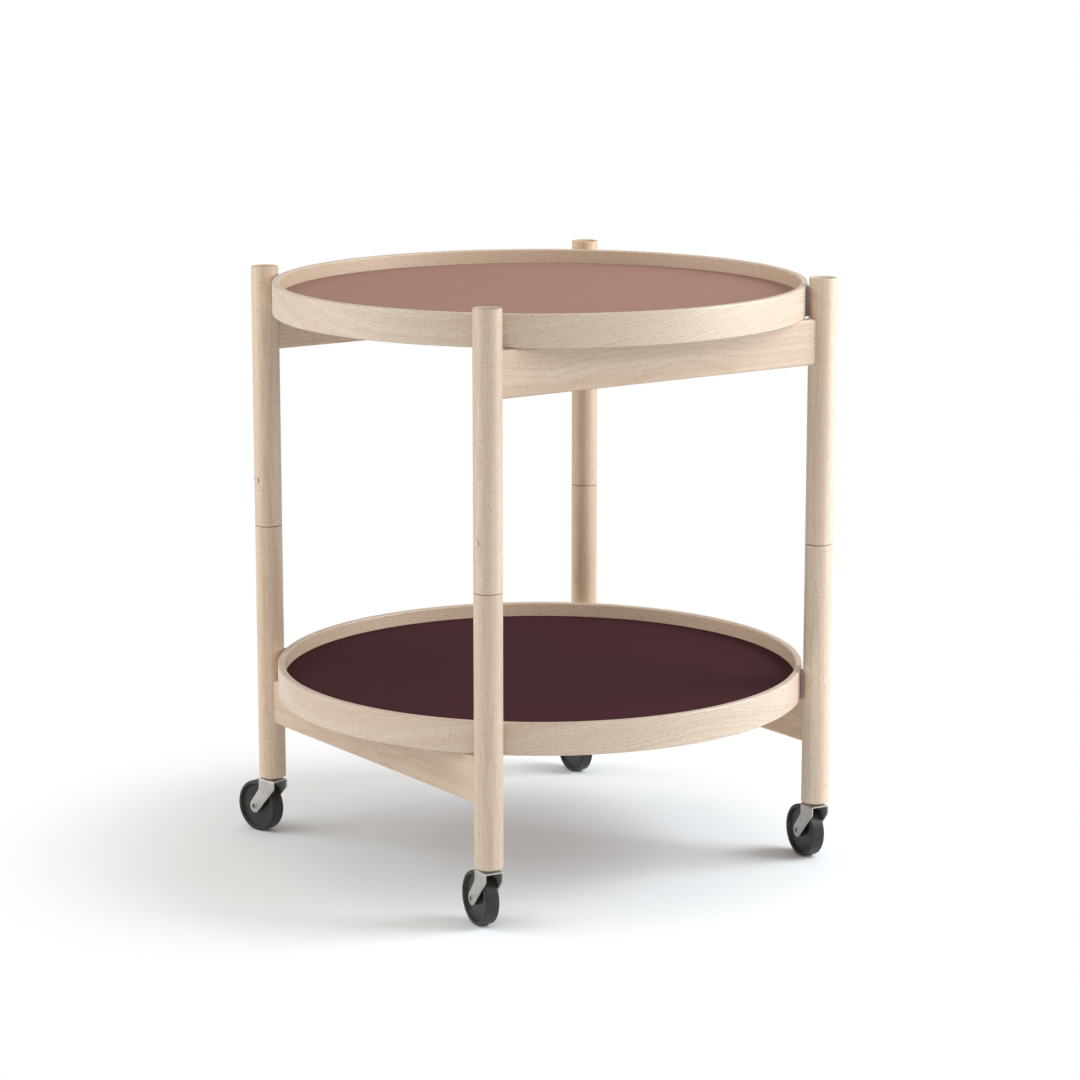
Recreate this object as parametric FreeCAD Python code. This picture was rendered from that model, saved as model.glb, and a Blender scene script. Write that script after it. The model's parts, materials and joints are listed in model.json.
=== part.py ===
import FreeCAD, Part
import math
import os

# Round tray table on casters: two lift-out trays on a beech frame whose split posts let it fold flat.
# Millimetres, +Z up, origin on the floor under the middle of the table.
# The posts stand at the corners of a square. The upper rails run along X and the lower rails along Y.

# Trays: a bent hoop with a panel at its mid-height, laminated on both faces so that either may be up.
TRAY_RADIUS = 250.0
HOOP_HEIGHT = 30.0
HOOP_WALL = 6.5
HOOP_ARRIS = 1.5
CORE_THICKNESS = 2.0
CORE_GROOVE = 3.0
CORE_CLEARANCE = 0.1
LAMINATE_THICKNESS = 0.5
LAMINATE_CLEARANCE = 0.15

# Posts: each is two turned halves, which meet at mid-height with a washer between them.
POST_RADIUS = 13.0
POST_HALF = 250.0
JOINT_GAP = 0.5
JOINT_ARRIS = 0.6
POST_FOOT_ARRIS = 1.5
POST_TOP_ARRIS = 0.8
DISH_RIM = 1.6
DISH_DEPTH = 4.0
TRAY_GAP = 2.0
TRAY_BELOW_TOP = 7.0

# Rails: bars on edge, their ends housed at full section in the posts.
RAIL_HEIGHT = 43.0
RAIL_THICKNESS = 10.0
RAIL_ARRIS = 2.5
RAIL_HOUSING = 9.0
LOWER_RAIL_ABOVE_FOOT = 56.0

# Pivot at each post joint: a pin held in the upper half by a cross peg, turning in the lower half.
PIN_RADIUS = 5.0
PIN_ABOVE = 54.0
PIN_BELOW = 40.0
PIN_CLEARANCE = 0.05
PIN_CHAMFER = 0.8
PEG_RADIUS = 4.0
PEG_ABOVE_JOINT = 45.0
PEG_SEAT = 3.0
PEG_PROUD = 0.3
PEG_ARRIS = 0.5
WASHER_INSET = 1.4

# Bumper strips: let into the posts, facing the trays.
BUMPER_WIDTH = 6.0
BUMPER_HEIGHT = 28.0
BUMPER_ABOVE_RAIL = 1.0
BUMPER_GROOVE = 1.2
BUMPER_ARRIS = 0.8
BUMPER_CLEARANCE = 0.3

# Casters: a stamped fork on a stem that turns in a socket, and a wheel on a riveted axle.
WHEEL_RADIUS = 25.0
WHEEL_WIDTH = 14.0
TREAD_ARRIS = 1.8
RIM_BAND = 3.4
RIM_BEVEL = 2.2
WEB_RECESS = 1.8
HUB_RADIUS = 6.0
HUB_PROUD = 0.5
HUB_CLEARANCE = 0.25
AXLE_RADIUS = 2.5
AXLE_CLEARANCE = 0.05
AXLE_HEAD_RADIUS = 3.7
AXLE_HEAD = 0.7
AXLE_DIMPLE_RADIUS = 1.7
AXLE_DIMPLE = 1.0
FORK_PLATE = 1.5
FORK_BEND = 2.2
FORK_LENGTH = 21.0
FORK_TRAIL = 17.0
FORK_EYE_RADIUS = 6.3
FORK_FRONT_DROP = 8.5
FORK_BACK_DROP = 11.0
FORK_FRONT_ROUND = 4.0
FORK_BACK_ROUND = 8.0
WHEEL_TO_FORK = 3.0
COLLAR_RADIUS = 5.2
COLLAR_HEIGHT = 2.5
THRUST_CLEARANCE = 0.1
STEM_RADIUS = 4.0
STEM_LENGTH = 30.0
STEM_CLEARANCE = 0.05
STEM_CHAMFER = 0.8
NECK_RADIUS = 3.0
TAIL_RADIUS = 4.6
TAIL_HEIGHT = 1.2
SOCKET_WALL = 2.0
SOCKET_END_ROOM = 2.0

# Each post's corner of the square and the way its wheel trails, in degrees from +X towards +Y.
CORNERS = {"front": (-1, -1), "right": (1, -1), "back": (1, 1), "left": (-1, 1)}
TRAIL_HEADING = {"front": 82.0, "right": 81.0, "back": 85.0, "left": 103.0}

# Places worked out from the sizes above.
fork_top = 2 * WHEEL_RADIUS + WHEEL_TO_FORK + FORK_PLATE
post_foot = fork_top + COLLAR_HEIGHT
joint_height = post_foot + POST_HALF
post_top = joint_height + POST_HALF
post_from_middle = TRAY_RADIUS + TRAY_GAP + POST_RADIUS
post_offset = post_from_middle / math.sqrt(2)
upper_rail_top = post_top - TRAY_BELOW_TOP - HOOP_HEIGHT
lower_rail_top = post_foot + LOWER_RAIL_ABOVE_FOOT + RAIL_HEIGHT
hoop_inside = TRAY_RADIUS - HOOP_WALL
hub_width = WHEEL_WIDTH + 2 * HUB_PROUD
fork_width = hub_width + 2 * (HUB_CLEARANCE + FORK_PLATE)

vec = FreeCAD.Vector
UP = vec(0, 0, 1)


def on_xz(u, v):
    """A section's point in the upright plane through X."""
    return vec(u, 0, v)


def on_yz(u, v):
    """A section's point in the upright plane through Y."""
    return vec(0, u, v)


def on_xy(u, v):
    """A section's point in the floor plane."""
    return vec(u, v, 0)


def rounded_face(corners, plane):
    """A face whose corners (u, v) or (u, v, radius) are joined by lines and rounded by arcs."""
    points = [plane(*corner[:2]) for corner in corners]
    edges = []
    starts = []
    ends = []
    for i, corner in enumerate(corners):
        radius = corner[2] if len(corner) > 2 else 0
        point = points[i]
        if not radius:
            starts.append(point)
            ends.append(point)
            continue
        back = (points[i - 1] - point).normalize()
        onward = (points[(i + 1) % len(points)] - point).normalize()
        half = back.getAngle(onward) / 2
        inward = (back + onward).normalize()
        start = point + back * (radius / math.tan(half))
        end = point + onward * (radius / math.tan(half))
        middle = point + inward * (radius / math.sin(half) - radius)
        edges.append(Part.Arc(start, middle, end).toShape())
        starts.append(start)
        ends.append(end)
    for i, end in enumerate(ends):
        start = starts[(i + 1) % len(starts)]
        if (start - end).Length > 1e-7:
            edges.append(Part.LineSegment(end, start).toShape())
    return Part.Face(Part.Wire(Part.__sortEdges__(edges)))


def turned(corners, plane=on_xz, axis=UP, centre=vec()):
    """A lathe-turned piece: the section goes once round the axis."""
    return rounded_face(corners, plane).revolve(centre, axis, 360)


def rectangle(u0, v0, u1, v1, radius=0):
    """The corners of an upright rectangle, all rounded alike."""
    return [(u0, v0, radius), (u1, v0, radius), (u1, v1, radius), (u0, v1, radius)]


def disc(radius, bottom, height):
    """A flat round piece on the table's axis."""
    return Part.makeCylinder(radius, height, vec(0, 0, bottom))


def turn_to(shape, degrees, place):
    """A copy of a piece made at the origin, turned about +Z and set in its place."""
    copy = shape.copy()
    copy.rotate(vec(), UP, degrees)
    copy.translate(place)
    return copy


def tray(bottom):
    """Hoop, core and two laminates of one tray, from the height of its lower edge."""
    hoop = turned(rectangle(hoop_inside, bottom, TRAY_RADIUS, bottom + HOOP_HEIGHT, HOOP_ARRIS))
    core_bottom = bottom + (HOOP_HEIGHT - CORE_THICKNESS) / 2
    core_top = core_bottom + CORE_THICKNESS
    groove_radius = hoop_inside + CORE_GROOVE
    laminate_radius = hoop_inside - LAMINATE_CLEARANCE
    return {
        "hoop": hoop.cut(disc(groove_radius, core_bottom, CORE_THICKNESS)),
        "core": disc(groove_radius - CORE_CLEARANCE, core_bottom, CORE_THICKNESS),
        "top_laminate": disc(laminate_radius, core_top, LAMINATE_THICKNESS),
        "under_laminate": disc(laminate_radius, core_bottom - LAMINATE_THICKNESS, LAMINATE_THICKNESS),
    }


def rail(top, side, along_x):
    """A bar on edge between two posts, on one side of the square, its ends inside the posts."""
    reach = post_offset - POST_RADIUS + RAIL_HOUSING
    half = RAIL_THICKNESS / 2
    section = rectangle(-half, top - RAIL_HEIGHT, half, top, RAIL_ARRIS)
    bar = rounded_face(section, on_yz).extrude(vec(2 * reach, 0, 0))
    bar.translate(vec(-reach, side * post_offset, 0))
    return bar if along_x else turn_to(bar, 90, vec())


def bumper(corner, rail_top):
    """A strip let into the post on its inner side, its face just clear of the tray."""
    face = TRAY_RADIUS + BUMPER_CLEARANCE
    back = TRAY_RADIUS + TRAY_GAP + BUMPER_GROOVE
    half = BUMPER_WIDTH / 2
    section = [(face, -half, BUMPER_ARRIS), (back, -half), (back, half), (face, half, BUMPER_ARRIS)]
    strip = rounded_face(section, on_xy).extrude(vec(0, 0, BUMPER_HEIGHT))
    towards_post = math.degrees(math.atan2(CORNERS[corner][1], CORNERS[corner][0]))
    return turn_to(strip, towards_post, vec(0, 0, rail_top + BUMPER_ABOVE_RAIL))


def post_place(corner):
    """The foot of a post's axis on the floor."""
    return vec(CORNERS[corner][0] * post_offset, CORNERS[corner][1] * post_offset, 0)


def pivot_pin():
    """The pin across a post joint, before its notch for the cross peg."""
    bottom = joint_height - PIN_BELOW
    top = joint_height + PIN_ABOVE
    narrow = PIN_RADIUS - PIN_CHAMFER
    return turned([(0, bottom), (narrow, bottom), (PIN_RADIUS, bottom + PIN_CHAMFER),
                   (PIN_RADIUS, top - PIN_CHAMFER), (narrow, top), (0, top)])


def cross_peg():
    """A peg along +X from its seat in the pivot pin to just outside the post, its end eased."""
    outer = POST_RADIUS + PEG_PROUD
    peg = turned([(PEG_SEAT, 0), (outer, 0), (outer, PEG_RADIUS, PEG_ARRIS), (PEG_SEAT, PEG_RADIUS)],
                 axis=vec(1, 0, 0))
    peg.translate(vec(0, 0, joint_height + PEG_ABOVE_JOINT))
    return peg


def upper_post():
    """The upper half: dished top, eased joint and the bore that holds the pivot pin."""
    bottom = joint_height + JOINT_GAP / 2
    post = turned([(0, bottom), (POST_RADIUS, bottom, JOINT_ARRIS),
                   (POST_RADIUS, post_top, POST_TOP_ARRIS), (0, post_top)])
    dish_radius = POST_RADIUS - DISH_RIM
    ball_radius = (dish_radius ** 2 + DISH_DEPTH ** 2) / (2 * DISH_DEPTH)
    post = post.cut(Part.makeSphere(ball_radius, vec(0, 0, post_top - DISH_DEPTH + ball_radius)))
    return post.cut(disc(PIN_RADIUS, joint_height, PIN_ABOVE))


def lower_post():
    """The lower half: eased foot and joint, the pivot pin's running bore and the caster socket's bore."""
    top = joint_height - JOINT_GAP / 2
    post = turned([(0, post_foot), (POST_RADIUS, post_foot, POST_FOOT_ARRIS),
                   (POST_RADIUS, top, JOINT_ARRIS), (0, top)])
    post = post.cut(disc(PIN_RADIUS + PIN_CLEARANCE, joint_height - PIN_BELOW, PIN_BELOW))
    return post.cut(disc(socket_radius(), post_foot, socket_length()))


def pivot_washer():
    """The thin ring between a post's halves, set in from their edge."""
    bottom = joint_height - JOINT_GAP / 2
    ring = disc(POST_RADIUS - WASHER_INSET, bottom, JOINT_GAP)
    return ring.cut(disc(PIN_RADIUS + PIN_CLEARANCE, bottom, JOINT_GAP))


def socket_radius():
    return STEM_RADIUS + STEM_CLEARANCE + SOCKET_WALL


def socket_length():
    return STEM_LENGTH + SOCKET_END_ROOM


def caster_socket():
    """The sleeve in a post's foot that a caster's stem turns in."""
    sleeve = disc(socket_radius(), post_foot, socket_length())
    return sleeve.cut(disc(STEM_RADIUS + STEM_CLEARANCE, post_foot, socket_length()))


def caster_stem():
    """The turned stem: a collar under the socket, a neck through the fork and a tail closed over below it."""
    plate_bottom = fork_top - FORK_PLATE
    collar_top = post_foot - THRUST_CLEARANCE
    top = post_foot + STEM_LENGTH
    return turned([(0, plate_bottom - TAIL_HEIGHT), (TAIL_RADIUS, plate_bottom - TAIL_HEIGHT),
                   (TAIL_RADIUS, plate_bottom), (NECK_RADIUS, plate_bottom), (NECK_RADIUS, fork_top),
                   (COLLAR_RADIUS, fork_top), (COLLAR_RADIUS, collar_top), (STEM_RADIUS, collar_top),
                   (STEM_RADIUS, top - STEM_CHAMFER), (STEM_RADIUS - STEM_CHAMFER, top), (0, top)])


def touch_point(outside, centre, radius, side):
    """Where a line from a point outside a circle touches it, on the side given as +1 or -1."""
    away = (outside[0] - centre[0], outside[1] - centre[1])
    angle = math.atan2(away[1], away[0]) + side * math.acos(radius / math.hypot(*away))
    return centre[0] + radius * math.cos(angle), centre[1] + radius * math.sin(angle)


def caster_fork():
    """A stamped fork: a bent channel trimmed to the outline of its legs, which slant back to the axle."""
    half_length = FORK_LENGTH / 2
    axle = (FORK_TRAIL, WHEEL_RADIUS)
    front = (-half_length, fork_top - FORK_FRONT_DROP)
    back = (half_length, fork_top - FORK_BACK_DROP)
    outline = [(-half_length, fork_top), (half_length, fork_top), back + (FORK_BACK_ROUND,),
               touch_point(back, axle, FORK_EYE_RADIUS, -1), axle,
               touch_point(front, axle, FORK_EYE_RADIUS, 1), front + (FORK_FRONT_ROUND,)]
    across = vec(0, fork_width, 0)
    legs = rounded_face(outline, on_xz).extrude(across)
    legs = legs.fuse(Part.makeCylinder(FORK_EYE_RADIUS, fork_width, on_xz(*axle), vec(0, 1, 0)))
    legs.translate(across / -2)
    outer = fork_width / 2
    inner = outer - FORK_PLATE
    channel = rounded_face([(-outer, 0), (-outer, fork_top, FORK_BEND), (outer, fork_top, FORK_BEND),
                            (outer, 0), (inner, 0), (inner, fork_top - FORK_PLATE, FORK_BEND - FORK_PLATE),
                            (-inner, fork_top - FORK_PLATE, FORK_BEND - FORK_PLATE), (-inner, 0)], on_yz)
    channel = channel.extrude(vec(FORK_LENGTH + FORK_TRAIL + FORK_EYE_RADIUS, 0, 0))
    channel.translate(vec(-half_length, 0, 0))
    fork = channel.common(legs).removeSplitter()
    fork = fork.cut(disc(NECK_RADIUS, fork_top - FORK_PLATE, FORK_PLATE))
    return fork.cut(Part.makeCylinder(AXLE_RADIUS, fork_width, vec(FORK_TRAIL, -outer, WHEEL_RADIUS), vec(0, 1, 0)))


def turned_on_axle(corners):
    """A piece turned about the wheel's axle. Corners are (radius, place along the axle)."""
    section = [(FORK_TRAIL + corner[0], corner[1]) + tuple(corner[2:]) for corner in corners]
    piece = rounded_face(section, on_xy).revolve(vec(FORK_TRAIL, 0, 0), vec(0, 1, 0), 360)
    piece.translate(vec(0, 0, WHEEL_RADIUS))
    return piece


def mirrored(half):
    """A section's corners from one side of the wheel, repeated on the other side in turning order."""
    return half + [(corner[0], -corner[1]) + tuple(corner[2:]) for corner in reversed(half)]


def wheel_axle():
    """A rivet through both legs, its two heads closed over with a dimple."""
    leg = fork_width / 2
    end = leg + AXLE_HEAD
    return turned_on_axle(mirrored([(0, end - AXLE_DIMPLE), (AXLE_DIMPLE_RADIUS, end), (AXLE_HEAD_RADIUS, end),
                                    (AXLE_HEAD_RADIUS, leg), (AXLE_RADIUS, leg)]))


def wheel():
    """A moulded wheel: flat tread, rim bands that slope to a recessed web, and a hub against the fork."""
    side = WHEEL_WIDTH / 2
    web = side - WEB_RECESS
    band = WHEEL_RADIUS - RIM_BAND
    bore = AXLE_RADIUS + AXLE_CLEARANCE
    return turned_on_axle(mirrored([(bore, hub_width / 2), (HUB_RADIUS, hub_width / 2), (HUB_RADIUS, web),
                                    (band - RIM_BEVEL, web), (band, side), (WHEEL_RADIUS, side, TREAD_ARRIS)]))


def all_pieces():
    """Every node's name and shape, in the table's own frame."""
    nodes = {}
    for level, rail_top in (("upper", upper_rail_top), ("lower", lower_rail_top)):
        for part_name, shape in tray(rail_top).items():
            nodes[f"{level}_tray_{part_name}"] = shape
        nodes[f"{level}_tray_bumpers"] = Part.makeCompound([bumper(corner, rail_top) for corner in CORNERS])
    nodes["upper_rail_front_right"] = rail(upper_rail_top, -1, True)
    nodes["upper_rail_left_back"] = rail(upper_rail_top, 1, True)
    nodes["lower_rail_right_back"] = rail(lower_rail_top, -1, False)
    nodes["lower_rail_left_front"] = rail(lower_rail_top, 1, False)

    pegs = []
    washers = []
    sockets = []
    for corner, (x_side, _) in CORNERS.items():
        place = post_place(corner)
        outward = 0 if x_side > 0 else 180
        peg = turn_to(cross_peg(), outward, place)
        pegs.append(peg)
        washers.append(turn_to(pivot_washer(), 0, place))
        sockets.append(turn_to(caster_socket(), 0, place))
        nodes[f"pivot_pin_{corner}"] = turn_to(pivot_pin(), 0, place).cut(peg)
        upper = turn_to(upper_post(), 0, place).cut(peg)
        lower = turn_to(lower_post(), 0, place)
        for name in ("upper_tray_bumpers", "upper_rail_front_right", "upper_rail_left_back"):
            upper = upper.cut(nodes[name])
        for name in ("lower_tray_bumpers", "lower_rail_right_back", "lower_rail_left_front"):
            lower = lower.cut(nodes[name])
        nodes[f"upper_post_{corner}"] = upper
        nodes[f"lower_post_{corner}"] = lower
        heading = TRAIL_HEADING[corner]
        for name, shape in (("caster_stem", caster_stem()), ("caster_fork", caster_fork()),
                            ("wheel_axle", wheel_axle()), ("wheel", wheel())):
            nodes[f"{name}_{corner}"] = turn_to(shape, heading, place)
    nodes["cross_pegs"] = Part.makeCompound(pegs)
    nodes["pivot_washers"] = Part.makeCompound(washers)
    nodes["caster_sockets"] = Part.makeCompound(sockets)
    return nodes


os.makedirs("parts", exist_ok=True)
for node, shape in all_pieces().items():
    shape.exportStep(f"parts/{node}.step")
    print(node, len(shape.Solids), shape.isValid(), round(sum(s.Volume for s in shape.Solids), 1))
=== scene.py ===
import json
import math
import bmesh
import bpy
import numpy as np
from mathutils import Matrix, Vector


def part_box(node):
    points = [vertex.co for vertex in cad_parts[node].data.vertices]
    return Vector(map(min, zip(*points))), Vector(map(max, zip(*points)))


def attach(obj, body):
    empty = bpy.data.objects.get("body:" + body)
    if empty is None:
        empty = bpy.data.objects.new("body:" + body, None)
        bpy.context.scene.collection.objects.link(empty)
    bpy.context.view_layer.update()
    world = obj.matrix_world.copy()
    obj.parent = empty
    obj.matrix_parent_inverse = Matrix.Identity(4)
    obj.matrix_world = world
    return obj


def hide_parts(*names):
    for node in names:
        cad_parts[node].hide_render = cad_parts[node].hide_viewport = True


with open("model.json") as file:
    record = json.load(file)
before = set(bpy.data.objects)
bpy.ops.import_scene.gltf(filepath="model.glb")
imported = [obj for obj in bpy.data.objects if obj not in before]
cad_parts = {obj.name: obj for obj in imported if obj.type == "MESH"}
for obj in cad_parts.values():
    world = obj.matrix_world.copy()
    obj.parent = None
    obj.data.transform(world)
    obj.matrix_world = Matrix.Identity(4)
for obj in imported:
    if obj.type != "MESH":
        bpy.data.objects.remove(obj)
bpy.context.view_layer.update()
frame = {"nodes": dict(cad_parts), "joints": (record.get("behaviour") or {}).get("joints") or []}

# Upper posts: the upper halves of four beech dowels, turned on a lathe and sanded.
# Each has a dished top with a thin eased rim, and takes the end of an upper rail in a slot in its side.
# Each post has tones of its own, set by how light falls on it, as painted light and shade: paler on the
# lit right post, warmer on the back and left posts in shade.
CORNERS = ("front", "right", "back", "left")
UP = np.array([0.0, 0.0, 1.0])
X_AXIS = np.array([1.0, 0.0, 0.0])
JOINT_EASING = 0.0006
TOP_EASING = 0.0008
DISH_RIM = 0.0016
DISH_DEPTH = 0.004
DISH_RINGS = 12
DISH_SHADE = 0.5
DISH_SHADE_POWER = 4
POST_TONES_BY_LIGHT = {"front": ((210, 193, 173), (200, 178, 155)), "right": ((220, 203, 182), (210, 188, 164)),
              "back": ((217, 192, 161), (207, 177, 144)), "left": ((217, 196, 171), (207, 181, 153))}


def linear(rgb):
    """A colour written in 0 to 255 steps, as the linear colour that a shader takes."""
    share = np.array(rgb) / 255.0
    curve = np.where(share <= 0.04045, share / 12.92, ((share + 0.055) / 1.055) ** 2.4)
    return (*curve.tolist(), 1.0)


class Wire:
    """An output socket of a material. Arithmetic on it adds Math nodes, and node() adds any other node."""

    def __init__(self, tree, socket=None):
        self.tree = tree
        self.socket = socket

    def node(self, kind, settings, inputs, output=0):
        made = self.tree.nodes.new(kind)
        for key, value in settings.items():
            setattr(made, key, value)
        for key, value in inputs.items():
            if isinstance(value, Wire):
                self.tree.links.new(value.socket, made.inputs[key])
            else:
                made.inputs[key].default_value = value
        return Wire(self.tree, made.outputs[output] if made.outputs else None)

    def math(self, operation, *values):
        return self.node("ShaderNodeMath", {"operation": operation}, dict(enumerate(values)))

    def __add__(self, other):
        return self.math("ADD", self, other)

    def __sub__(self, other):
        return self.math("SUBTRACT", self, other)

    def __rsub__(self, other):
        return self.math("SUBTRACT", other, self)

    def __mul__(self, other):
        return self.math("MULTIPLY", self, other)

    def __pow__(self, other):
        return self.math("POWER", self, other)

    __radd__ = __add__
    __rmul__ = __mul__


def smooth(wire, low, high):
    """0 below low and 1 above high, with a soft step between, or the reverse where low is the greater."""
    return wire.node("ShaderNodeMapRange", {"interpolation_type": "SMOOTHSTEP"},
                     {"Value": wire, "From Min": low, "From Max": high})


def blend(share, first, second):
    """A colour between two, by share."""
    return share.node("ShaderNodeMix", {"data_type": "RGBA"}, {0: share, 6: first, 7: second}, 2)


def stretched(place, scale):
    """A place with each of its axes multiplied by its own scale, in cells per metre."""
    return place.node("ShaderNodeVectorMath", {"operation": "MULTIPLY"}, {0: place, 1: scale})


def noise(place, scale, detail=2.0):
    """Smooth noise about 0.5 with cells of the given number per metre along each axis."""
    return place.node("ShaderNodeTexNoise", {},
                      {"Vector": stretched(place, scale), "Scale": 1.0, "Detail": detail})


def speck(place, scale, output=0):
    """Distance from the nearest of scattered points, in cells; output 1 is a random colour for each cell."""
    return place.node("ShaderNodeTexVoronoi", {}, {"Vector": stretched(place, scale), "Scale": 1.0}, output)


def new_material(name):
    """An empty material, and the wire that its nodes start from."""
    material = bpy.data.materials.new(name)
    material.use_nodes = True
    material.node_tree.nodes.clear()
    return material, Wire(material.node_tree)


def principled(start, inputs):
    """Ends a material in a Principled shader with the given inputs."""
    shader = start.node("ShaderNodeBsdfPrincipled", {}, inputs)
    start.node("ShaderNodeOutputMaterial", {}, {"Surface": shader})


BEECH_LINE = (171, 133, 103)
BEECH_FLECK = (150, 102, 74)
BEECH_KNOT = (104, 70, 48)
CLOUD_CELLS = (3.0, 110.0, 110.0)
CLOUD_EDGE = (0.28, 0.74)
WAVER_CELLS = (5.0, 14.0, 14.0)
WAVER_REACH = 0.018
PITH = (0.043, 0.031)
RINGS_PER_METRE = 400.0
RING_START = 0.5
RING_PEAK = 0.93
FLECK_CELLS = (230.0, 1700.0, 1700.0)
FLECK_EDGE = (0.42, 0.2)
FLECK_CHOICE = (0.1, 1.0)
FIBRE_CELLS = (70.0, 2400.0, 2400.0)
FIBRE_EDGE = (0.35, 0.75)
KNOT_CELLS = (5.5, 26.0, 26.0)
KNOT_EDGE = (0.055, 0.03)
INNER_FILL_DEPTH = 0.0006
LINE_SHARE = 0.22
FIBRE_SHARE = 0.2
FLECK_SHARE = 0.62
KNOT_SHARE = 0.8
SHADE_AND_END_GRAIN_SHARE = 0.85
BEECH_ROUGH = 0.34
FIBRE_ROUGH = 0.14
FLECK_ROUGH = 0.06
FIBRE_HEIGHT = 0.6
FLECK_HEIGHT = 0.5
LINE_HEIGHT = 0.2
BEECH_SHINE = 0.9
BEECH_BUMP = 0.22
BEECH_RELIEF = 0.0001


def beech(name, pale, warm, painted_inner=None):
    """Beech between two tones. Its pattern follows the grain attribute, whose first axis lies along the
    fibres: growth lines by distance from a far-off pith, short brown ray flecks, fine fibre and a rare pin
    knot. The shade attribute paints shade: in the gap round a peg, and in a post's dish, where it also
    stands for darker end grain. An inner tone, if given, paints the inner wall of a bent strip as painted
    light."""
    material, start = new_material(name)
    grain = start.node("ShaderNodeAttribute", {"attribute_name": "grain"}, {}, 1)
    across = start.node("ShaderNodeSeparateXYZ", {}, {0: grain}, 1)
    depth = start.node("ShaderNodeSeparateXYZ", {}, {0: grain}, 2)
    cloud = noise(grain, CLOUD_CELLS, detail=3.0)
    waver = noise(grain, WAVER_CELLS)
    pith = ((across + PITH[0]) ** 2.0 + (depth + PITH[1]) ** 2.0) ** 0.5 + WAVER_REACH * waver
    ring = pith.math("FRACT", pith * RINGS_PER_METRE)
    line = smooth(ring, RING_START, RING_PEAK) * smooth(ring, 1.0, RING_PEAK)
    chosen = start.node("ShaderNodeSeparateXYZ", {}, {0: speck(grain, FLECK_CELLS, 1)})
    flecks = smooth(speck(grain, FLECK_CELLS), *FLECK_EDGE) * smooth(chosen, *FLECK_CHOICE)
    fibre = noise(grain, FIBRE_CELLS, detail=1.0)
    knot = smooth(speck(grain, KNOT_CELLS), *KNOT_EDGE)
    # The shade attribute is painted shade in a peg's gap, and in a post's dish also darker end grain.
    joint = start.node("ShaderNodeAttribute", {"attribute_name": "shade"}, {}, 2)
    colour = blend(smooth(cloud, *CLOUD_EDGE), linear(pale), linear(warm))
    if painted_inner:
        colour = blend(smooth(depth, INNER_FILL_DEPTH, INNER_FILL_DEPTH / 2), colour, linear(painted_inner))
    colour = blend(line * LINE_SHARE, colour, linear(BEECH_LINE))
    colour = blend(smooth(fibre, *FIBRE_EDGE) * FIBRE_SHARE, colour, linear(BEECH_LINE))
    colour = blend(flecks * FLECK_SHARE, colour, linear(BEECH_FLECK))
    colour = blend(knot * KNOT_SHARE, colour, linear(BEECH_KNOT))
    colour = blend(joint * SHADE_AND_END_GRAIN_SHARE, colour, linear(BEECH_KNOT))
    rough = BEECH_ROUGH + FIBRE_ROUGH * fibre + FLECK_ROUGH * flecks
    height = FIBRE_HEIGHT * fibre - FLECK_HEIGHT * flecks - LINE_HEIGHT * line
    bump = start.node("ShaderNodeBump", {},
                      {"Height": height, "Strength": BEECH_BUMP, "Distance": BEECH_RELIEF})
    principled(start, {"Base Color": colour, "Roughness": rough, "Normal": bump,
                       "Specular IOR Level": BEECH_SHINE})
    return material


def rounded(corners, closed, spans=6, margin=0.0003):
    """An outline through corners (u, v) or (u, v, radius). A rounded corner is an arc of equal spans whose
    ends touch both sides, with one more point just beyond each end so that the flats beside it shade flat."""
    points = []
    for i, corner in enumerate(corners):
        here = np.array(corner[:2])
        radius = corner[2] if len(corner) > 2 else 0.0
        if not radius:
            points.append(here[None])
            continue
        back = np.array(corners[i - 1][:2]) - here
        onward = np.array(corners[(i + 1) % len(corners)][:2]) - here
        back = back / np.linalg.norm(back)
        onward = onward / np.linalg.norm(onward)
        half = math.acos(np.clip(back @ onward, -1, 1)) / 2
        reach = radius / math.tan(half)
        centre = here + (back + onward) / np.linalg.norm(back + onward) * radius / math.sin(half)
        first = here + back * reach - centre
        last = here + onward * reach - centre
        share = np.linspace(0, 1, spans + 1)[:, None]
        sweep = math.pi - 2 * half
        arc = (np.sin((1 - share) * sweep) * first + np.sin(share * sweep) * last) / math.sin(sweep) + centre
        points += [here[None] + back * (reach + margin), arc, here[None] + onward * (reach + margin)]
    outline = np.concatenate(points)
    return np.vstack([outline, outline[:1]]) if closed else outline


def turned(outline, centre, axis, side, steps=96):
    """A surface of revolution: the point (radius, height) goes once round the axis, so
    P = centre + axis * height + radius * (side * cos(angle) + (axis x side) * sin(angle))."""
    angle = np.linspace(0, 2 * np.pi, steps + 1)
    spokes = np.cos(angle)[:, None] * side + np.sin(angle)[:, None] * np.cross(axis, side)
    return centre + outline[:, 1, None, None] * axis + outline[:, 0, None, None] * spokes[None]


BOARD_CORNER = 0.02
BOARD_STRETCH = (40.0, 1.0, 1.0)


def along_fibres(grid, fibre, seed):
    """Each point's place in the board it was cut from: along the fibres first, then across them both ways,
    from a corner of the board that differs from piece to piece."""
    side = np.cross(UP, fibre) if abs(fibre @ UP) < 0.5 else X_AXIS
    axes = np.stack([fibre, side, np.cross(fibre, side)])
    corner = np.random.default_rng(seed).uniform(-BOARD_CORNER, BOARD_CORNER, 3) * BOARD_STRETCH
    return grid @ axes.T - (grid.reshape(-1, 3) @ axes.T).mean(0) + corner


MERGE_REACH = 1e-6
SHARP_ANGLE = math.radians(32)


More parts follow.
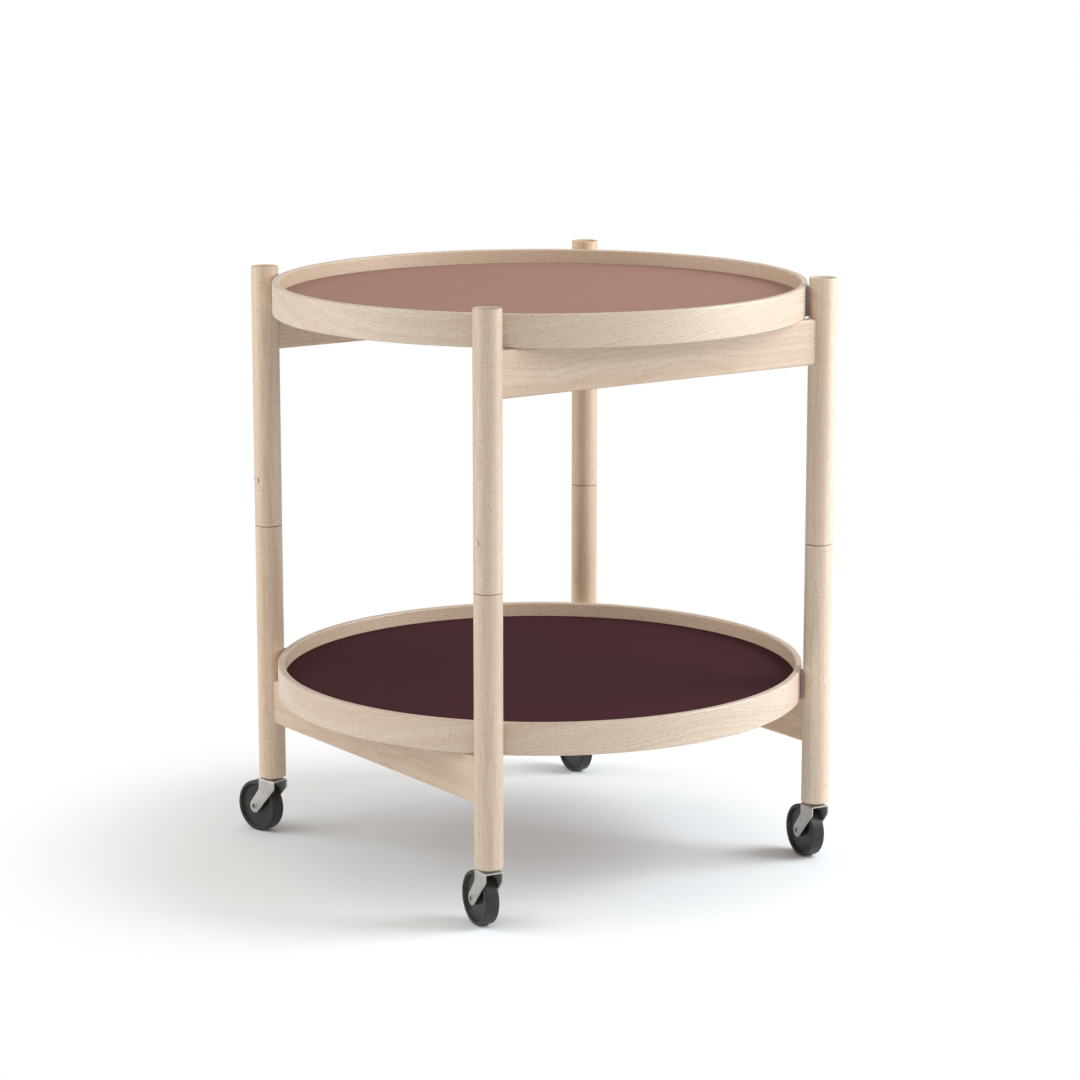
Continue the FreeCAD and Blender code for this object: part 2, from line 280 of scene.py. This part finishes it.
def add_piece(name, grids, material, body, nodes, grains=None, shades=None):
    """One mesh from grids of points, with a face between each four neighbours. Doubles are merged, so that
    seams and poles close, and faces turned outwards. It rides on its body and stands for its CAD nodes.
    Each point may have a place in the grain, and each row of a grid a share of shade."""
    corners = []
    faces = []
    for grid in grids:
        rows, columns = grid.shape[:2]
        index = np.arange(rows * columns).reshape(rows, columns) + sum(len(c) for c in corners)
        quads = np.stack([index[:-1, :-1], index[:-1, 1:], index[1:, 1:], index[1:, :-1]], -1)
        corners.append(grid.reshape(-1, 3))
        faces.append(quads.reshape(-1, 4))
    faces = np.concatenate(faces)
    mesh = bpy.data.meshes.new(name)
    mesh.from_pydata(np.concatenate(corners).tolist(), [], faces.tolist())
    if grains:
        fibres = np.concatenate([grain.reshape(-1, 3) for grain in grains])
        layer = mesh.attributes.new("grain", "FLOAT_VECTOR", "CORNER")
        layer.data.foreach_set("vector", fibres[faces].astype(np.float32).ravel())
    if shades:
        share = np.concatenate([np.repeat(shade, grid.shape[1]) for shade, grid in zip(shades, grids)])
        layer = mesh.attributes.new("shade", "FLOAT", "CORNER")
        layer.data.foreach_set("value", share[faces].astype(np.float32).ravel())
    shell = bmesh.new()
    shell.from_mesh(mesh)
    bmesh.ops.remove_doubles(shell, verts=shell.verts, dist=MERGE_REACH)
    bmesh.ops.recalc_face_normals(shell, faces=shell.faces)
    shell.to_mesh(mesh)
    shell.free()
    mesh.shade_smooth()
    mesh.set_sharp_from_angle(angle=SHARP_ANGLE)
    mesh.materials.append(material)
    piece = bpy.data.objects.new(name, mesh)
    bpy.context.scene.collection.objects.link(piece)
    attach(piece, body)
    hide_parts(*nodes)


def axis_of(node):
    """Middle of an upright round node in plan, its radius, and the heights of its ends."""
    low, high = (np.array(corner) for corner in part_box(node))
    middle = (low + high) / 2
    return np.array([middle[0], middle[1], 0.0]), (high[0] - low[0]) / 2, low[2], high[2]


post_wood = {corner: beech(f"beech_post_{corner}", *tones) for corner, tones in POST_TONES_BY_LIGHT.items()}
for seed, corner in enumerate(CORNERS):
    node = f"upper_post_{corner}"
    centre, radius, bottom, top = axis_of(node)
    dish_radius = radius - DISH_RIM
    ball = (dish_radius ** 2 + DISH_DEPTH ** 2) / (2 * DISH_DEPTH)
    dish = np.linspace(dish_radius, 0, DISH_RINGS)
    # The dish darkens towards its middle: partly darker end grain, partly painted shade in the hollow.
    dish_shade_and_end_grain = DISH_SHADE * (1 - (dish[1:] / dish_radius) ** DISH_SHADE_POWER)
    dish = np.stack([dish, top - DISH_DEPTH + ball - np.sqrt(ball ** 2 - dish ** 2)], 1)
    side = rounded([(0.0, bottom), (radius, bottom, JOINT_EASING), (radius, top, TOP_EASING),
                    (dish_radius, top)], closed=False)
    grid = turned(np.vstack([side, dish[1:]]), centre, UP, X_AXIS)
    add_piece(f"post_upper_{corner}", [grid], post_wood[corner], "frame", [node],
              grains=[along_fibres(grid, UP, seed)], shades=[np.append(np.zeros(len(side)), dish_shade_and_end_grain)])

# Lower posts: the lower halves of the same dowels, plain turned beech with eased ends.
# The foot is bored for a caster's socket, and the side takes the end of a lower rail.
FOOT_EASING = 0.0015
socket_low, socket_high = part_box("caster_sockets")
for seed, corner in enumerate(CORNERS, start=10):
    node = f"lower_post_{corner}"
    centre, radius, bottom, top = axis_of(node)
    bore = (socket_high[0] - socket_low[0]) / 2 - abs(centre[0])
    bore_end = socket_high[2]
    side = rounded([(0.0, bore_end), (bore, bore_end), (bore, bottom), (radius, bottom, FOOT_EASING),
                    (radius, top, JOINT_EASING), (0.0, top)], closed=False)
    grid = turned(side, centre, UP, X_AXIS)
    add_piece(f"post_lower_{corner}", [grid], post_wood[corner], "frame", [node],
              grains=[along_fibres(grid, UP, seed)])

# Rails: four straight beech bars on edge, with sanded arrises. Their ends go full section into slots in the
# posts. The upper pair lies along X and the lower pair along Y, and the trays' hoops sit on them.
# The two that end in the back post lie in shade, and are painted paler and warmer as painted light.
RAIL_EASING = 0.0025
RAIL_TONES = ((209, 189, 165), (199, 173, 146))
BACK_RAIL_FILL_TONES = ((226, 200, 171), (216, 186, 155))


def carried(outline, start, end, u, v):
    """A prism: the closed outline (u, v) goes straight from start to end, and each end is closed to its
    middle, so P = start + (end - start) * share + u * outline_u + v * outline_v."""
    ring = outline[:, 0, None] * u + outline[:, 1, None] * v
    middle = np.broadcast_to(ring[:-1].mean(0), ring.shape)
    return np.stack([start + middle, start + ring, end + ring, end + middle])


rail_wood = beech("beech_rail", *RAIL_TONES)
back_rail_fill_wood = beech("beech_back_rail_painted_fill", *BACK_RAIL_FILL_TONES)
for seed, node in enumerate(("upper_rail_front_right", "upper_rail_left_back",
                             "lower_rail_right_back", "lower_rail_left_front"), start=20):
    low, high = (np.array(corner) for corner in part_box(node))
    middle = (low + high) / 2
    length = np.eye(3)[int(np.argmax(high - low))]
    thick = np.cross(UP, length)
    half_thick = abs((high - low) @ thick) / 2
    half_high = (high - low)[2] / 2
    half_long = (high - low) @ length / 2
    section = rounded([(-half_thick, -half_high, RAIL_EASING), (half_thick, -half_high, RAIL_EASING),
                       (half_thick, half_high, RAIL_EASING), (-half_thick, half_high, RAIL_EASING)],
                      closed=True)
    grid = carried(section, middle - length * half_long, middle + length * half_long, thick, UP)
    # Paler, warmer tones on the back rails are painted light for pieces in shade.
    wood = back_rail_fill_wood if node.endswith("back") else rail_wood
    add_piece(node.replace("rail", "tray_rail"), [grid], wood, "frame", [node],
              grains=[along_fibres(grid, length, seed)])

# Pivot washers: thin dark fibre rings between the halves of the posts, which turn on them when the frame
# folds. They show as the fine shadow line round each post.
WASHER_BROWN = (84, 64, 50)
WASHER_LIGHT = (96, 75, 60)
MOTTLE_SIZE = 12
MOTTLE_EDGE = (0.3, 0.75)
MOTTLE_ROUGH = 0.12
TOOTH_BUMP = 0.3


def moulded(name, rgb, lighter, rough, cells, tooth_depth, shine=0.5):
    """A matte moulded or pressed stuff: one colour with a faint mottle, and a fine tooth in the surface."""
    material, start = new_material(name)
    place = start.node("ShaderNodeTexCoord", {}, {}, 3)
    mottle = noise(place, (cells / MOTTLE_SIZE,) * 3, detail=3.0)
    tooth = noise(place, (cells,) * 3)
    colour = blend(smooth(mottle, *MOTTLE_EDGE), linear(rgb), linear(lighter))
    bump = start.node("ShaderNodeBump", {},
                      {"Height": tooth, "Strength": TOOTH_BUMP, "Distance": tooth_depth})
    principled(start, {"Base Color": colour, "Roughness": rough + MOTTLE_ROUGH * mottle, "Normal": bump,
                       "Specular IOR Level": shine})
    return material


fibre_ring = moulded("dark_fibre", WASHER_BROWN, WASHER_LIGHT, rough=0.7, cells=3000.0, tooth_depth=0.00004)
low, high = (np.array(corner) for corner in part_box("pivot_washers"))
bore = axis_of("pivot_pin_front")[1]
rings = []
for corner in CORNERS:
    centre = axis_of(f"upper_post_{corner}")[0]
    reach = (high[0] - low[0]) / 2 - abs(centre[0])
    outline = np.array([(bore, low[2]), (reach, low[2]), (reach, high[2]), (bore, high[2]), (bore, low[2])])
    rings.append(turned(outline, centre, UP, X_AXIS))
add_piece("washers", rings, fibre_ring, "frame", ["pivot_washers"])

# Cross pegs: turned beech pegs driven into the upper halves from outside, in line with the upper rails.
# Each ends in the pivot pin and locks it in its post; the eased outer end stands a little proud.
PEG_SEAT = 0.003
PEG_EASING = 0.0005
low, high = (np.array(corner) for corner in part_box("cross_pegs"))
peg_radius = (high[2] - low[2]) / 2
peg_grids = []
peg_grains = []
peg_gap_shade = []
for seed, corner in enumerate(CORNERS, start=30):
    centre = axis_of(f"upper_post_{corner}")[0]
    outward = X_AXIS * np.sign(centre[0])
    outer = (high[0] - low[0]) / 2 - abs(centre[0])
    outline = rounded([(0.0, PEG_SEAT), (peg_radius, PEG_SEAT), (peg_radius, outer, PEG_EASING),
                       (0.0, outer)], closed=False, spans=4, margin=0.0001)
    grid = turned(outline, centre + UP * (low[2] + high[2]) / 2, outward, UP, steps=48)
    peg_grids.append(grid)
    peg_grains.append(along_fibres(grid, X_AXIS, seed))
    # The proud end's side is darkened as painted shade of the gap round the peg.
    peg_gap_shade.append((outline[:, 0] >= peg_radius) * 1.0)
add_piece("pegs", peg_grids, post_wood["front"], "frame", ["cross_pegs"],
          grains=peg_grains, shades=peg_gap_shade)

# Bumper strips: grey rubber strips let into the inner side of each post, one beside each tray.
# They keep the hoops off the wood and take up the play, so that the trays don't rattle.
BUMPER_GREY = (168, 162, 156)
BUMPER_LIGHT = (180, 174, 168)
BUMPER_WIDTH = 0.006
BUMPER_GROOVE = 0.0012
BUMPER_EASING = 0.0008
BUMPER_CLEARANCE = 0.0003
rubber = moulded("bumper_rubber", BUMPER_GREY, BUMPER_LIGHT, rough=0.62, cells=2400.0, tooth_depth=0.00003)
tray_radius = axis_of("upper_tray_hoop")[1]
for level in ("upper", "lower"):
    low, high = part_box(f"{level}_tray_bumpers")
    strips = []
    for corner in CORNERS:
        centre, radius, _, _ = axis_of(f"upper_post_{corner}")
        inward = -centre / np.linalg.norm(centre)
        face = np.linalg.norm(centre) - tray_radius - BUMPER_CLEARANCE
        back = radius - BUMPER_GROOVE
        half = BUMPER_WIDTH / 2
        section = rounded([(back, -half), (face, -half, BUMPER_EASING), (face, half, BUMPER_EASING),
                           (back, half)], closed=True, spans=5, margin=0.0001)
        strips.append(carried(section, centre + UP * low[2], centre + UP * high[2],
                              inward, np.cross(UP, inward)))
    add_piece(f"bumpers_{level}", strips, rubber, "frame", [f"{level}_tray_bumpers"])

# Tray hoops: plies of beech bent into a ring and glued, with sanded edges, grooved inside for the panel's
# core. The grain runs round the hoop and its joint is at the back. The inner wall has a tone of its own as
# painted light and shade: paler and warmer on the lower hoop, which lies in shade under the upper tray,
# and a little warmer on the upper.
HOOP_EASING = 0.0015
HOOP_WALL = 0.0065
CORE_GROOVE = 0.003
HOOP_JOINT = math.radians(52)
HOOP_BOARD_STEP = 3.0
GRAIN_WANDER = 0.03
HOOP_TONES = {"upper": ((214, 200, 182), (205, 187, 166)), "lower": ((210, 194, 175), (201, 181, 159))}
INNER_FILL_TONES = {"upper": (211, 190, 164), "lower": (230, 205, 177)}
for seed, level in enumerate(("upper", "lower"), start=40):
    node = f"{level}_tray_hoop"
    hoop_wood = beech(f"beech_hoop_{level}", *HOOP_TONES[level], INNER_FILL_TONES[level])
    _, _, bottom, top = axis_of(node)
    _, _, core_bottom, core_top = axis_of(f"{level}_tray_core")
    inside = tray_radius - HOOP_WALL
    groove = inside + CORE_GROOVE
    section = rounded([(inside, bottom, HOOP_EASING), (tray_radius, bottom, HOOP_EASING),
                       (tray_radius, top, HOOP_EASING), (inside, top, HOOP_EASING), (inside, core_top),
                       (groove, core_top), (groove, core_bottom), (inside, core_bottom)], closed=True)
    joint_side = np.array([math.cos(HOOP_JOINT), math.sin(HOOP_JOINT), 0.0])
    grid = turned(section, np.zeros(3), UP, joint_side, steps=288)
    angle = np.linspace(0, 2 * np.pi, grid.shape[1])
    along = np.broadcast_to(angle * tray_radius + seed * HOOP_BOARD_STEP, grid.shape[:2])
    across = section[:, 1, None] - bottom + GRAIN_WANDER * np.sin(2 * angle + seed)
    depth = np.broadcast_to(section[:, 0, None] - inside, grid.shape[:2])
    add_piece(f"hoop_{level}", [grid], hoop_wood, f"{level}_tray", [node],
              grains=[np.stack([along, across, depth], -1)])

# Tray faces: thin matte laminate on both sides of each panel, so that either side may be up.
# The upper tray shows its rose side and the lower its burgundy side, with the other colour underneath.
ROSE = (160, 124, 113)
ROSE_LIGHT = (163, 127, 116)
BURGUNDY = (68, 36, 42)
BURGUNDY_LIGHT = (71, 38, 44)
LAMINATE = {"rough": 0.7, "cells": 1800.0, "tooth_depth": 0.00002, "shine": 0.04}
FACE_EASING = 0.00015
rose = moulded("rose", ROSE, ROSE_LIGHT, **LAMINATE)
burgundy = moulded("burgundy", BURGUNDY, BURGUNDY_LIGHT, **LAMINATE)
for level, side_name, face, slot in (("upper", "top", rose, "rose_laminate"),
                                     ("upper", "under", burgundy, "burgundy_laminate"),
                                     ("lower", "top", burgundy, "burgundy_laminate"),
                                     ("lower", "under", rose, "rose_laminate")):
    node = f"{level}_tray_{side_name}_laminate"
    _, radius, bottom, top = axis_of(node)
    outline = rounded([(0.0, bottom), (radius, bottom, FACE_EASING), (radius, top, FACE_EASING), (0.0, top)],
                      closed=False, spans=3, margin=0.0002)
    grid = turned(outline, np.zeros(3), UP, X_AXIS, steps=288)
    add_piece(f"face_{level}_{side_name}", [grid], face, f"{level}_tray", [node])

# Caster forks: stamped from zinc-plated plate, bent to a channel and trimmed so that the legs slant back to
# the axle. The stem hangs in the post's foot, and its neck is closed over under the fork's top.
ZINC = (193, 190, 186)
ZINC_DULL = (185, 181, 177)
DIMPLE_SHADE_DARK = (70, 68, 66)
ZINC_CLOUDS = (160.0, 160.0, 160.0)
ZINC_CLOUD_EDGE = (0.35, 0.7)
ZINC_DRAWN = (900.0, 900.0, 5200.0)
ZINC_ROUGH = 0.5
ZINC_CLOUD_ROUGH = 0.12
ZINC_BUMP = 0.12
ZINC_RELIEF = 0.00003
FORK_WIDTH = 0.0185
FORK_PLATE = 0.0015
FORK_BEND = 0.0022
FORK_LENGTH = 0.021
FORK_EYE = 0.0063
FORK_EDGE = 0.0003
FRONT_KNEE = (-1, 0.0085, 0.004, 1)
BACK_KNEE = (1, 0.011, 0.008, -1)
EYE_POINTS = 16
LEG_ROWS = 40
LEG_START = 0.03
BEND_ROWS = 8


def plated(name):
    """Zinc plate on pressed steel: satin metal with soft dull clouds and a faint drawn grain. The shade
    attribute darkens it as painted shade in the hollow of a rivet's dimple."""
    material, start = new_material(name)
    place = start.node("ShaderNodeTexCoord", {}, {}, 3)
    cloud = noise(place, ZINC_CLOUDS, detail=4.0)
    drawn = noise(place, ZINC_DRAWN)
    dimple_shade = start.node("ShaderNodeAttribute", {"attribute_name": "shade"}, {}, 2)
    colour = blend(smooth(cloud, *ZINC_CLOUD_EDGE), linear(ZINC), linear(ZINC_DULL))
    colour = blend(dimple_shade, colour, linear(DIMPLE_SHADE_DARK))
    bump = start.node("ShaderNodeBump", {},
                      {"Height": drawn, "Strength": ZINC_BUMP, "Distance": ZINC_RELIEF})
    rough = ZINC_ROUGH + ZINC_CLOUD_ROUGH * cloud
    principled(start, {"Base Color": colour, "Metallic": 1.0, "Roughness": rough, "Normal": bump})
    return material


def leg_edge(knee, fork_top, axle):
    """One edge of a leg as (trail, height) from the tip up: round the eye from its lowest point to where the
    slant touches it, up the slant to the rounded knee, then upright to the top. Touching angle = direction of
    the knee from the axle, turned by the angle whose cosine is eye radius over distance. A knee is its end of
    the fork, its drop below the top, its radius and the way to turn."""
    end, drop, bend, turn = knee
    corner = np.array([end * FORK_LENGTH / 2, fork_top - drop])
    away = corner - axle
    touch = math.atan2(away[1], away[0]) + turn * math.acos(FORK_EYE / np.linalg.norm(away))
    touch = (touch + math.pi) % (2 * math.pi) - math.pi
    angle = np.linspace(-math.pi / 2, touch, EYE_POINTS)
    eye = axle + FORK_EYE * np.stack([np.cos(angle), np.sin(angle)], 1)
    slant = rounded([tuple(eye[-1]), (*corner, bend), (corner[0], fork_top)], closed=False)
    return np.vstack([eye, slant[1:]])


def bent_plate(front, back, tip, fork_top):
    """A plate bent to a channel, as (trail, width, height): a thin rounded section goes up one leg, over the
    top and down the other. At each height it reaches from the front edge to the back edge, and half the plate
    to each side. Rows lie closer together towards the tip, where the edges curve most."""
    bend = FORK_BEND - FORK_PLATE / 2
    half_width = FORK_WIDTH / 2 - FORK_PLATE / 2
    rise = 1 - np.cos(np.linspace(LEG_START, math.pi / 2, LEG_ROWS))
    rise = tip + (fork_top - FORK_BEND - tip) * rise
    quarter = np.linspace(0, math.pi / 2, BEND_ROWS + 1)[1:]
    leg = np.stack([np.full_like(rise, -half_width), rise, np.full_like(rise, -1.0), np.zeros_like(rise)], 1)
    knee = np.stack([bend * (1 - np.cos(quarter)) - half_width, fork_top - FORK_BEND + bend * np.sin(quarter),
                     -np.cos(quarter), np.sin(quarter)], 1)
    path = np.vstack([leg, knee])
    path = np.vstack([path, path[::-1] * (-1, 1, -1, 1)])
    low = np.interp(path[:, 1], front[:, 1], front[:, 0])
    high = np.interp(path[:, 1], back[:, 1], back[:, 0])
    turn = np.pi / 2 * (np.arange(4)[:, None] + np.linspace(0, 1, 4)[None])
    quadrant = np.pi / 2 * (np.arange(4)[:, None] + 0.5) + 0 * turn
    turn = np.append(turn.ravel(), 0.0)
    quadrant = np.append(quadrant.ravel(), quadrant[0, 0])
    reach = np.maximum((high - low) / 2 - FORK_EDGE, 0)[:, None]
    along = (low + high)[:, None] / 2 + reach * np.sign(np.cos(quadrant)) + FORK_EDGE * np.cos(turn)
    out = (FORK_PLATE / 2 - FORK_EDGE) * np.sign(np.sin(quadrant)) + FORK_EDGE * np.sin(turn)
    wide = path[:, 0, None] + path[:, 2, None] * out
    high_up = path[:, 1, None] + path[:, 3, None] * out
    grid = np.stack([along, wide, high_up], -1)
    ends = [np.broadcast_to(ring[:-1].mean(0), ring.shape)[None] for ring in (grid[0], grid[-1])]
    return np.concatenate([ends[0], grid, ends[1]])


zinc = plated("zinc_plate")
joints = {joint["name"]: joint for joint in frame["joints"]}


def caster_axes(corner):
    """A caster's swivel in plan, its wheel's middle, and the ways that it trails and that its axle points."""
    swivel = np.array(joints[f"caster_swivel_{corner}"]["pos_m"]) * (1, 1, 0)
    middle = np.array(joints[f"wheel_spin_{corner}"]["pos_m"])
    axle_way = np.array(joints[f"wheel_spin_{corner}"]["axis"])
    return swivel, middle, np.cross(axle_way, UP), axle_way


for corner in CORNERS:
    swivel, middle, trail_way, axle_way = caster_axes(corner)
    _, _, tip, fork_top = axis_of(f"caster_fork_{corner}")
    axle = np.array([(middle - swivel) @ trail_way, middle[2]])
    front_edge = leg_edge(FRONT_KNEE, fork_top, axle)
    back_edge = leg_edge(BACK_KNEE, fork_top, axle)
    plate = bent_plate(front_edge, back_edge, tip, fork_top)
    add_piece(f"fork_{corner}", [swivel + plate @ np.stack([trail_way, axle_way, UP])], zinc,
              f"caster_{corner}", [f"caster_fork_{corner}"])

# Caster stems: turned steel pins that swivel in the sockets, each with a collar under the post's foot.
# The neck goes through the fork's top and its tail is closed over underneath.
COLLAR_RADIUS = 0.0052
COLLAR_EASING = 0.0004
STEM_RADIUS = 0.004
STEM_EASING = 0.0008
NECK_RADIUS = 0.003
TAIL_RADIUS = 0.0046
THRUST_CLEARANCE = 0.0001
for corner in CORNERS:
    swivel = caster_axes(corner)[0]
    _, _, tail, top = axis_of(f"caster_stem_{corner}")
    _, _, foot, _ = axis_of(f"lower_post_{corner}")
    _, _, _, fork_top = axis_of(f"caster_fork_{corner}")
    collar_top = foot - THRUST_CLEARANCE
    plate_under = fork_top - FORK_PLATE
    outline = rounded([(0.0, tail), (TAIL_RADIUS, tail, COLLAR_EASING), (TAIL_RADIUS, plate_under),
                       (NECK_RADIUS, plate_under), (NECK_RADIUS, fork_top), (COLLAR_RADIUS, fork_top),
                       (COLLAR_RADIUS, collar_top, COLLAR_EASING), (STEM_RADIUS, collar_top),
                       (STEM_RADIUS, top, STEM_EASING), (0.0, top)], closed=False, spans=4, margin=0.0001)
    add_piece(f"stem_{corner}", [turned(outline, swivel, UP, X_AXIS, steps=48)], zinc,
              f"caster_{corner}", [f"caster_stem_{corner}"])

# Wheel axles: steel rivets that go through both legs of a fork and carry the wheel between them.
# Their heads are closed over outside the legs, each with a dimple darkened as painted shade in its hollow.
AXLE_RADIUS = 0.0025
AXLE_HEAD_RADIUS = 0.0037
AXLE_HEAD = 0.0007
AXLE_DIMPLE = 0.001
AXLE_DIMPLE_RADIUS = 0.0017
DIMPLE_SHADE_REACH = 1.8
HEAD_EASING = 0.0003


def both_sides(half):
    """A section's corners from one side of the wheel, repeated on the other side in turning order."""
    return half + [(corner[0], -corner[1], *corner[2:]) for corner in reversed(half)]


for corner in CORNERS:
    _, middle, _, axle_way = caster_axes(corner)
    leg = FORK_WIDTH / 2
    head = leg + AXLE_HEAD
    outline = rounded(both_sides([(0.0, head - AXLE_DIMPLE), (AXLE_DIMPLE_RADIUS, head, HEAD_EASING),
                                  (AXLE_HEAD_RADIUS, head, HEAD_EASING), (AXLE_HEAD_RADIUS, leg),
                                  (AXLE_RADIUS, leg)]), closed=False, spans=4, margin=0.0001)
    # Darkest in the dimple's middle and fading out past its rim: painted shade of the hollow.
    dimple_shade = np.clip(DIMPLE_SHADE_REACH - outline[:, 0] / AXLE_DIMPLE_RADIUS, 0, 1)
    add_piece(f"axle_{corner}", [turned(outline, middle, axle_way, UP, steps=48)], zinc,
              f"caster_{corner}", [f"wheel_axle_{corner}"], shades=[dimple_shade])

# Wheels: moulded black plastic, with a flat tread, rim bands that step down to a recessed web, and a hub.
# The hub's bore turns on the axle with a little clearance.
WHEEL_BLACK = (33, 32, 31)
WHEEL_BLACK_LIGHT = (39, 38, 37)
WHEEL_WIDTH = 0.014
TREAD_EASING = 0.0018
RIM_BAND = 0.0034
RIM_BEVEL = 0.0014
RIM_EASING = 0.0004
WEB_RECESS = 0.0027
HUB_RADIUS = 0.006
HUB_PROUD = 0.0005
AXLE_CLEARANCE = 0.00005
black = moulded("wheel_black", WHEEL_BLACK, WHEEL_BLACK_LIGHT, rough=0.33, cells=2600.0, tooth_depth=0.00003,
                shine=0.45)
for corner in CORNERS:
    _, middle, _, axle_way = caster_axes(corner)
    wheel_radius = middle[2]
    side = WHEEL_WIDTH / 2
    web = side - WEB_RECESS
    band = wheel_radius - RIM_BAND
    outline = rounded(both_sides([(AXLE_RADIUS + AXLE_CLEARANCE, side + HUB_PROUD),
                                  (HUB_RADIUS, side + HUB_PROUD, HEAD_EASING), (HUB_RADIUS, web, RIM_EASING),
                                  (band - RIM_BEVEL, web, RIM_EASING), (band, side, RIM_EASING),
                                  (wheel_radius, side, TREAD_EASING)]), closed=True)
    add_piece(f"wheel_tyre_{corner}", [turned(outline, middle, axle_way, UP, steps=128)], black,
              f"rolling_wheel_{corner}", [f"wheel_{corner}"])

# Hidden pieces stay as the CAD made them: steel pivot pins in the posts, nylon sockets in the feet and the
# panels' cores between their laminates. They only take a plain finish.
NYLON = (214, 210, 202)
NYLON_LIGHT = (222, 218, 211)
CORE_BROWN = (150, 112, 78)
CORE_LIGHT = (162, 124, 90)
nylon = moulded("socket_nylon", NYLON, NYLON_LIGHT, rough=0.45, cells=2000.0, tooth_depth=0.00002)
core = moulded("panel_core", CORE_BROWN, CORE_LIGHT, rough=0.7, cells=1500.0, tooth_depth=0.00006)
for name, finish, slot in ([(f"pivot_pin_{corner}", zinc, "pin_steel") for corner in CORNERS]
                           + [("caster_sockets", nylon, "socket_nylon"),
                              ("upper_tray_core", core, "panel_core"),
                              ("lower_tray_core", core, "panel_core")]):
    node = frame["nodes"][name]
    for place in node.material_slots:
        place.material = finish

# Camera: a long lens a little above the upper tray, from the front left.
# Its place is the aim, plus the distance along a direction of given azimuth and elevation.
AZIMUTH = math.radians(-35.155)
ELEVATION = math.radians(11.404)
DISTANCE = 3.208
AIM = np.array([0.0, 0.0, 0.301])
LENS = 112.61
SENSOR = 36.0
toward = np.array([math.sin(AZIMUTH) * math.cos(ELEVATION), -math.cos(AZIMUTH) * math.cos(ELEVATION),
                   math.sin(ELEVATION)])


def aim_at(thing, target):
    """Turns a camera or a lamp so that it looks at a point, upright."""
    from_to = Vector(target) - thing.location
    thing.rotation_euler = from_to.to_track_quat("-Z", "Y").to_euler()


camera_data = bpy.data.cameras.new("camera")
camera_data.lens = LENS
camera_data.sensor_width = SENSOR
camera = bpy.data.objects.new("camera", camera_data)
bpy.context.scene.collection.objects.link(camera)
camera.location = AIM + DISTANCE * toward
aim_at(camera, AIM)
bpy.context.scene.camera = camera

# Light: a near soft box on the right, a little cool, and a wide, weaker one on the left, in a cream room.
# Each box is its place to the right, nearer and up from the floor's middle, then its width, height, watts
# and colour. The camera sees a white backdrop in place of the room.
ROOM = 0.63
ROOM_CREAM = (1.0, 0.98, 0.95, 1.0)
BACKDROP_WHITE = (1.0, 1.0, 1.0, 1.0)
BOXES = {"right": ((1.75, 0.1, 1.15), 1.2, 1.5, 37.0, (0.95, 1.0, 1.055)),
         "left": ((-2.4, 0.2, 1.3), 2.4, 2.4, 35.0, (1.0, 1.0, 1.0))}
right = np.array([math.cos(AZIMUTH), math.sin(AZIMUTH), 0.0])
nearer = np.array([math.sin(AZIMUTH), -math.cos(AZIMUTH), 0.0])
for name, (place, width, height, watts, colour) in BOXES.items():
    box_data = bpy.data.lights.new(name, "AREA")
    box_data.shape = "RECTANGLE"
    box_data.size = width
    box_data.size_y = height
    box_data.energy = watts
    box_data.color = colour
    box = bpy.data.objects.new(name, box_data)
    bpy.context.scene.collection.objects.link(box)
    box.location = np.array(place) @ np.stack([right, nearer, UP])
    aim_at(box, AIM)
world = bpy.data.worlds.new("room")
bpy.context.scene.world = world
world.use_nodes = True
world.node_tree.nodes.clear()
room = Wire(world.node_tree)
seen = room.node("ShaderNodeLightPath", {}, {}, "Is Camera Ray")
walls = room.node("ShaderNodeBackground", {}, {"Color": ROOM_CREAM, "Strength": ROOM})
backdrop = room.node("ShaderNodeBackground", {}, {"Color": BACKDROP_WHITE, "Strength": 1.0})
both = room.node("ShaderNodeMixShader", {}, {0: seen, 1: walls, 2: backdrop})
room.node("ShaderNodeOutputWorld", {}, {"Surface": both})

# Floor: a white studio floor that takes the soft shadow and runs out into the white of the backdrop.
# Under the table its paint is a little cooler, against the rose light off the tray above it.
FLOOR_WHITE = (250, 253, 254)
FLOOR_COOL = (242, 252, 255)
COOL_REACH = (0.1, 0.34)
FADE_REACH = (0.32, 0.56)
FLOOR_REACH = 4.0
floor_paint, start = new_material("floor")
place = start.node("ShaderNodeTexCoord", {}, {}, 3)
away = start.node("ShaderNodeVectorMath", {"operation": "LENGTH"}, {0: place}, 1)
seen = start.node("ShaderNodeLightPath", {}, {}, "Is Camera Ray")
tint = blend(smooth(away, *COOL_REACH), linear(FLOOR_COOL), linear(FLOOR_WHITE))
paint = start.node("ShaderNodeBsdfDiffuse", {}, {"Color": tint})
white = start.node("ShaderNodeEmission", {}, {"Color": BACKDROP_WHITE, "Strength": 1.0})
faded = smooth(away, *FADE_REACH) * seen
mixed = start.node("ShaderNodeMixShader", {}, {0: faded, 1: paint, 2: white})
start.node("ShaderNodeOutputMaterial", {}, {"Surface": mixed})
floor_corners = FLOOR_REACH * np.array([(-1, -1, 0), (1, -1, 0), (1, 1, 0), (-1, 1, 0)])
mesh = bpy.data.meshes.new("floor")
mesh.from_pydata(floor_corners.tolist(), [], [(0, 1, 2, 3)])
mesh.materials.append(floor_paint)
floor = bpy.data.objects.new("floor", mesh)
bpy.context.scene.collection.objects.link(floor)
bpy.context.scene.view_settings.view_transform = "Standard"
